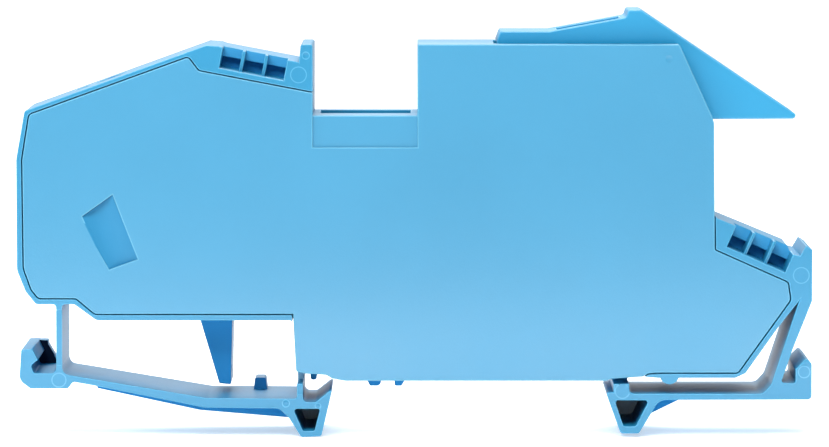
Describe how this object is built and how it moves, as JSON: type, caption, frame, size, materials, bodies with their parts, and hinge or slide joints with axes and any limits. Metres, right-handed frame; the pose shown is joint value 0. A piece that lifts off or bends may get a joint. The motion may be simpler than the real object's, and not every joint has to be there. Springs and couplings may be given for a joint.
{
  "type": "din rail terminal block",
  "caption": "Fused DIN rail terminal block with a lift-up fuse lever, flat end cover, marker windows and a sprung rail foot.",
  "frame": {"origin": "middle of the flat seat that lies on the top of the rail, at half the block's thickness", "axes": "+X across the rail towards the fuse lever, +Y along the rail away from the end cover, +Z away from the rail"},
  "size_m": [0.093, 0.013, 0.0499],
  "materials": {
    "housing_blue": "moulded polyamide, light blue, slight gloss",
    "cover_blue": "moulded polyamide, light blue, fine spark-eroded texture",
    "lever_blue": "moulded polyamide, light blue, satin",
    "tinned_copper": "tin-plated electrolytic copper, satin",
    "spring_steel": "bright rolled stainless spring strip",
    "nickel_clip": "nickel-plated bronze strip",
    "nickel_cap": "nickel-plated brass, drawn",
    "fuse_glass": "clear drawn glass tube",
    "fuse_element": "fine drawn fuse wire"
  },
  "bodies": {
    "housing": {"housing": "housing_blue", "current_bar_left": "tinned_copper", "current_bar_right": "tinned_copper", "contact_fork_left": "tinned_copper", "contact_fork_right": "tinned_copper", "left_spring_base": "spring_steel", "right_spring_base": "spring_steel"},
    "cover": {"end_cover": "cover_blue"},
    "fuse_lever": {"lever": "lever_blue", "fuse_clip_left": "nickel_clip", "fuse_clip_right": "nickel_clip", "fuse_cap_left": "nickel_cap", "fuse_cap_right": "nickel_cap", "fuse_tube": "fuse_glass", "fuse_wire": "fuse_element"},
    "rail_foot": {"left_foot": "housing_blue", "left_strut": "housing_blue", "left_web": "housing_blue"},
    "left_clamp": {"left_spring_leg": "spring_steel"},
    "right_clamp": {"right_spring_leg": "spring_steel"}
  },
  "joints": [
    {"name": "cover_pull", "type": "slide", "parent": "housing", "child": "cover", "axis": [0, -1, 0], "range_m": [0, 0.02]},
    {"name": "lever_pivot", "type": "hinge", "parent": "housing", "child": "fuse_lever", "pos_m": [0.0085, 0.0006, 0.0378], "axis": [0, -1, 0], "range_deg": [0, 88]},
    {"name": "foot_release", "type": "slide", "parent": "housing", "child": "rail_foot", "axis": [-1, 0, 0], "range_m": [0, 0.0015], "stiffness_N_per_m": 4000},
    {"name": "left_clamp_open", "type": "hinge", "parent": "housing", "child": "left_clamp", "pos_m": [-0.04651, 0.0006, 0.02551], "axis": [0, 1, 0], "range_deg": [0, 18], "stiffness_Nm_per_rad": 0.3},
    {"name": "right_clamp_open", "type": "hinge", "parent": "housing", "child": "right_clamp", "pos_m": [0.0213, 0.0006, 0.0166], "axis": [0, -1, 0], "range_deg": [0, 18], "stiffness_Nm_per_rad": 0.3}
  ]
}
